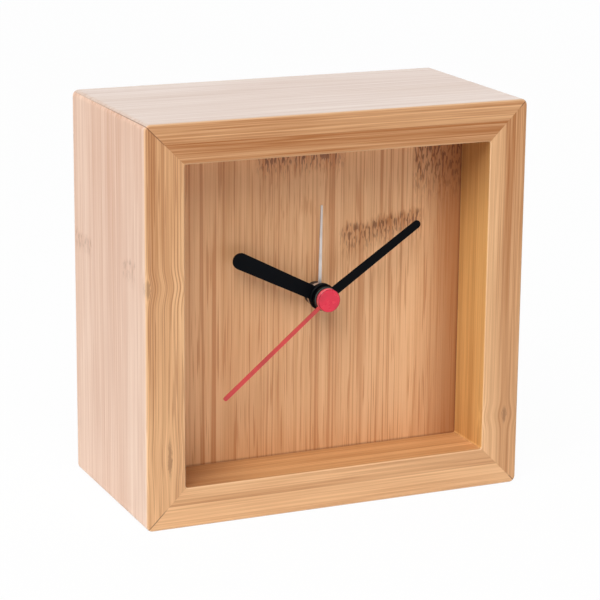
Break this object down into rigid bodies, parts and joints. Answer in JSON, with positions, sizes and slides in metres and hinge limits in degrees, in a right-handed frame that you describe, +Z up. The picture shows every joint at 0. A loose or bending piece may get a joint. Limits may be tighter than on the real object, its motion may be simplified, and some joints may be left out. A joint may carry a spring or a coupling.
{
  "type": "wooden desk alarm clock",
  "caption": "Square bamboo desk alarm clock with a bare recessed dial, hour, minute, second and alarm hands, and a quartz movement with setting knobs, alarm switch and battery door behind.",
  "frame": {"origin": "bottom centre of the case, on the surface it stands on", "axes": "+Z up; +X to the right as seen from the front; +Y from the dial's open front towards the back"},
  "size_m": [0.1, 0.052, 0.099],
  "materials": {
    "case_bamboo": "sanded bamboo, clear matt oil",
    "dial_bamboo": "sanded bamboo, clear matt oil",
    "back_bamboo": "sanded bamboo, clear matt oil",
    "housing_black": "moulded, fine texture",
    "knob_black": "moulded, satin",
    "wheel_white": "natural acetal",
    "wheel_brass": "turned",
    "hand_black": "satin black paint",
    "hand_red": "satin red paint",
    "cap_red": "glossy red",
    "hand_silver": "bright",
    "steel": "plated",
    "copper": "enamelled wire",
    "magnet": "sintered",
    "circuit_green": "solder mask",
    "chip_black": "epoxy",
    "cell_jacket": "plain jacket, no lettering"
  },
  "bodies": {
    "case": {"case_top": "case_bamboo", "case_bottom": "case_bamboo", "case_left": "case_bamboo", "case_right": "case_bamboo", "dial_panel": "dial_bamboo", "rear_panel": "back_bamboo", "rear_panel_screws": "steel", "movement_front_housing": "housing_black", "movement_screws": "steel", "train_plate": "housing_black", "movement_rear_cover": "housing_black", "circuit_board": "circuit_green", "quartz_crystal": "steel", "controller_chip": "chip_black", "sounder": "chip_black", "motor_stator": "steel", "motor_coil_core": "steel", "motor_coil_bobbin": "wheel_white", "motor_coil_winding": "copper", "positive_contact": "steel", "negative_contact": "steel", "alarm_leaf_spring": "steel", "battery_cell": "cell_jacket"},
    "rotor": {"rotor_magnet": "magnet", "rotor_pinion": "wheel_white"},
    "intermediate": {"intermediate_wheel": "wheel_white"},
    "seconds": {"second_wheel": "wheel_white", "second_hand": "hand_red", "second_hand_cap": "cap_red"},
    "third": {"third_wheel": "wheel_white"},
    "centre_drive": {"centre_drive_wheel": "wheel_white"},
    "minutes": {"minute_pipe": "wheel_brass", "minute_hand": "hand_black"},
    "motion": {"motion_wheel": "wheel_white"},
    "hours": {"hour_wheel": "wheel_white", "hour_hand": "hand_black"},
    "alarm": {"alarm_wheel": "wheel_white", "alarm_hand": "hand_silver"},
    "time_setting": {"time_set_pinion": "wheel_white", "time_set_knob": "knob_black"},
    "alarm_setting": {"alarm_set_pinion": "wheel_white", "alarm_set_knob": "knob_black"},
    "alarm_switch": {"alarm_switch_slider": "knob_black"},
    "battery_cover": {"battery_door": "housing_black"}
  },
  "joints": [
    {"name": "second_hand_turn", "type": "hinge", "parent": "case", "child": "seconds", "pos_m": [0, 0, 0.0511], "axis": [0, 1, 0], "continuous": true},
    {"name": "rotor_turn", "type": "hinge", "parent": "case", "child": "rotor", "pos_m": [0.01255, 0, 0.0469], "axis": [0, 1, 0], "continuous": true},
    {"name": "intermediate_turn", "type": "hinge", "parent": "case", "child": "intermediate", "pos_m": [0.00727, 0, 0.0469], "axis": [0, 1, 0], "continuous": true},
    {"name": "third_wheel_turn", "type": "hinge", "parent": "case", "child": "third", "pos_m": [0, 0, 0.0596], "axis": [0, 1, 0], "continuous": true},
    {"name": "centre_drive_turn", "type": "hinge", "parent": "case", "child": "centre_drive", "pos_m": [0, 0, 0.0511], "axis": [0, 1, 0], "continuous": true},
    {"name": "minute_hand_turn", "type": "hinge", "parent": "case", "child": "minutes", "pos_m": [0, 0, 0.0511], "axis": [0, 1, 0], "continuous": true},
    {"name": "motion_wheel_turn", "type": "hinge", "parent": "case", "child": "motion", "pos_m": [-0.00877, 0, 0.0491], "axis": [0, 1, 0], "continuous": true},
    {"name": "hour_hand_turn", "type": "hinge", "parent": "case", "child": "hours", "pos_m": [0, 0, 0.0511], "axis": [0, 1, 0], "continuous": true},
    {"name": "time_knob_turn", "type": "hinge", "parent": "case", "child": "time_setting", "pos_m": [-0.00958, 0, 0.05806], "axis": [0, 1, 0], "continuous": true},
    {"name": "alarm_hand_turn", "type": "hinge", "parent": "case", "child": "alarm", "pos_m": [0, 0, 0.0511], "axis": [0, 1, 0], "continuous": true},
    {"name": "alarm_knob_turn", "type": "hinge", "parent": "case", "child": "alarm_setting", "pos_m": [0.00958, 0, 0.05806], "axis": [0, 1, 0], "continuous": true},
    {"name": "alarm_switch_slide", "type": "slide", "parent": "case", "child": "alarm_switch", "axis": [1, 0, 0], "range_m": [0, 0.004]},
    {"name": "battery_door_pull", "type": "slide", "parent": "case", "child": "battery_cover", "axis": [0, 1, 0], "range_m": [0, 0.03]}
  ],
  "couplings": [
    {"joint": "rotor_turn", "follows": "second_hand_turn", "ratio": 30},
    {"joint": "intermediate_turn", "follows": "second_hand_turn", "ratio": -6},
    {"joint": "third_wheel_turn", "follows": "second_hand_turn", "ratio": -0.125},
    {"joint": "centre_drive_turn", "follows": "second_hand_turn", "ratio": 0.016667},
    {"joint": "motion_wheel_turn", "follows": "minute_hand_turn", "ratio": -0.33333},
    {"joint": "hour_hand_turn", "follows": "minute_hand_turn", "ratio": 0.083333},
    {"joint": "time_knob_turn", "follows": "minute_hand_turn", "ratio": 1},
    {"joint": "alarm_knob_turn", "follows": "alarm_hand_turn", "ratio": -4.2857}
  ]
}
